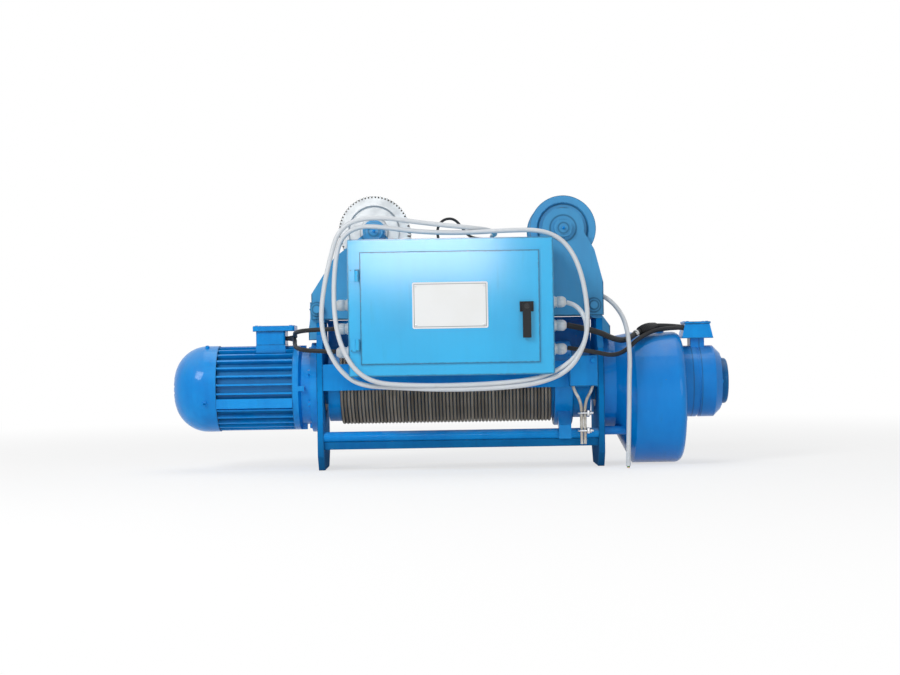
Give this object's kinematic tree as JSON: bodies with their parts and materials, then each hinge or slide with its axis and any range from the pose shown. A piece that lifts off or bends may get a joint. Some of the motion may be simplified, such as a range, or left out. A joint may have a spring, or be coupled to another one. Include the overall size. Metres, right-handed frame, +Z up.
{
  "type": "electric wire rope hoist with monorail trolley",
  "caption": "Electric wire rope hoist on a monorail trolley, with open rope drum, finned motor, gearbox, coaxial brake and a front control box",
  "frame": {"origin": "on the floor under the middle of the hoist, between the feet of the two end plates", "axes": "+X along the drum from motor to brake, +Y away from the control box, +Z up"},
  "size_m": [1.288, 0.632, 0.6295],
  "materials": {
    "blue_paint": "gloss",
    "steel": "satin",
    "zinc": "satin",
    "wire_rope": "satin",
    "grey_sheath": "matte",
    "black_sheath": "matte",
    "gland_plastic": "satin",
    "black_plastic": "satin",
    "dark_cap": "gloss"
  },
  "bodies": {
    "frame": {"bearings": "steel", "box_rails": "blue_paint", "brake_cap": "dark_cap", "brake_housing": "blue_paint", "brake_leads": "black_sheath", "brake_magnet": "black_plastic", "brake_terminal_box": "blue_paint", "brake_terminal_lid": "blue_paint", "breather_plug": "zinc", "cable_glands": "gland_plastic", "control_box": "blue_paint", "control_gear": "black_plastic", "door_hinges": "blue_paint", "drum_covers": "blue_paint", "fan_cowl": "blue_paint", "front_side_plate": "blue_paint", "gearbox_case": "blue_paint", "gearbox_cover": "blue_paint", "guide_tube": "blue_paint", "hangers": "blue_paint", "left_end_plate": "blue_paint", "motor_end_shield": "blue_paint", "motor_housing": "blue_paint", "motor_leads": "black_sheath", "motor_terminal_box": "blue_paint", "motor_terminal_lid": "blue_paint", "mounting_plate": "steel", "pendant_coil": "grey_sheath", "pendant_tail": "grey_sheath", "rear_side_plate": "blue_paint", "right_end_plate": "blue_paint", "rope_anchor": "blue_paint", "rope_clips": "zinc", "rope_dead_end": "wire_rope", "stator_core": "steel", "suspension_bolts": "steel", "tie_bars": "blue_paint", "travel_gearhead": "blue_paint", "travel_motor": "blue_paint", "wheel_axles": "steel"},
    "drum": {"drum_shell": "blue_paint", "drum_hubs": "blue_paint", "rope_winding": "wire_rope", "output_gear": "steel"},
    "guide": {"rope_guide": "blue_paint"},
    "rotor": {"motor_shaft": "steel", "rotor_core": "steel", "cooling_fan": "black_plastic", "input_pinion": "steel", "brake_disc": "steel"},
    "lay": {"layshaft": "steel"},
    "armature": {"brake_armature": "steel"},
    "front_drive": {"front_drive_wheel": "blue_paint"},
    "rear_drive": {"rear_drive_wheel": "blue_paint"},
    "cross": {"pinion_shaft": "steel"},
    "front_idler": {"front_idler_wheel": "blue_paint"},
    "rear_idler": {"rear_idler_wheel": "blue_paint"},
    "door": {"control_door": "blue_paint", "handle_base": "black_plastic"},
    "handle": {"door_handle": "black_plastic"}
  },
  "joints": [
    {"name": "drum_spin", "type": "hinge", "parent": "frame", "child": "drum", "pos_m": [0, 0, 0.19], "axis": [1, 0, 0], "range_deg": [0, 18000]},
    {"name": "guide_travel", "type": "slide", "parent": "frame", "child": "guide", "axis": [1, 0, 0], "range_m": [-0.4055, 0.0005]},
    {"name": "rotor_spin", "type": "hinge", "parent": "frame", "child": "rotor", "pos_m": [0, 0, 0.19], "axis": [1, 0, 0], "continuous": true},
    {"name": "layshaft_spin", "type": "hinge", "parent": "frame", "child": "lay", "pos_m": [0.45, 0, 0.112], "axis": [1, 0, 0], "continuous": true},
    {"name": "brake_release", "type": "slide", "parent": "frame", "child": "armature", "axis": [1, 0, 0], "range_m": [0, 0.0008]},
    {"name": "front_drive_spin", "type": "hinge", "parent": "frame", "child": "front_drive", "pos_m": [-0.17, -0.062, 0.547], "axis": [0, 1, 0], "continuous": true},
    {"name": "rear_drive_spin", "type": "hinge", "parent": "frame", "child": "rear_drive", "pos_m": [-0.17, 0.062, 0.547], "axis": [0, 1, 0], "continuous": true},
    {"name": "cross_shaft_spin", "type": "hinge", "parent": "frame", "child": "cross", "pos_m": [-0.17, 0, 0.447], "axis": [0, 1, 0], "continuous": true},
    {"name": "front_idler_spin", "type": "hinge", "parent": "frame", "child": "front_idler", "pos_m": [0.263, -0.062, 0.547], "axis": [0, 1, 0], "continuous": true},
    {"name": "rear_idler_spin", "type": "hinge", "parent": "frame", "child": "rear_idler", "pos_m": [0.263, 0.062, 0.547], "axis": [0, 1, 0], "continuous": true},
    {"name": "door_swing", "type": "hinge", "parent": "frame", "child": "door", "pos_m": [-0.201, -0.306, 0.367], "axis": [0, 0, -1], "range_deg": [0, 110]},
    {"name": "handle_turn", "type": "hinge", "parent": "door", "child": "handle", "pos_m": [0.168, -0.308, 0.366], "axis": [0, 1, 0], "range_deg": [0, 90]}
  ],
  "couplings": [
    {"joint": "guide_travel", "follows": "drum_spin", "m_per_rad": -0.0012892},
    {"joint": "rotor_spin", "follows": "drum_spin", "ratio": 20.898},
    {"joint": "layshaft_spin", "follows": "drum_spin", "ratio": -4.5714},
    {"joint": "rear_drive_spin", "follows": "front_drive_spin", "ratio": 1},
    {"joint": "cross_shaft_spin", "follows": "front_drive_spin", "ratio": -4}
  ]
}
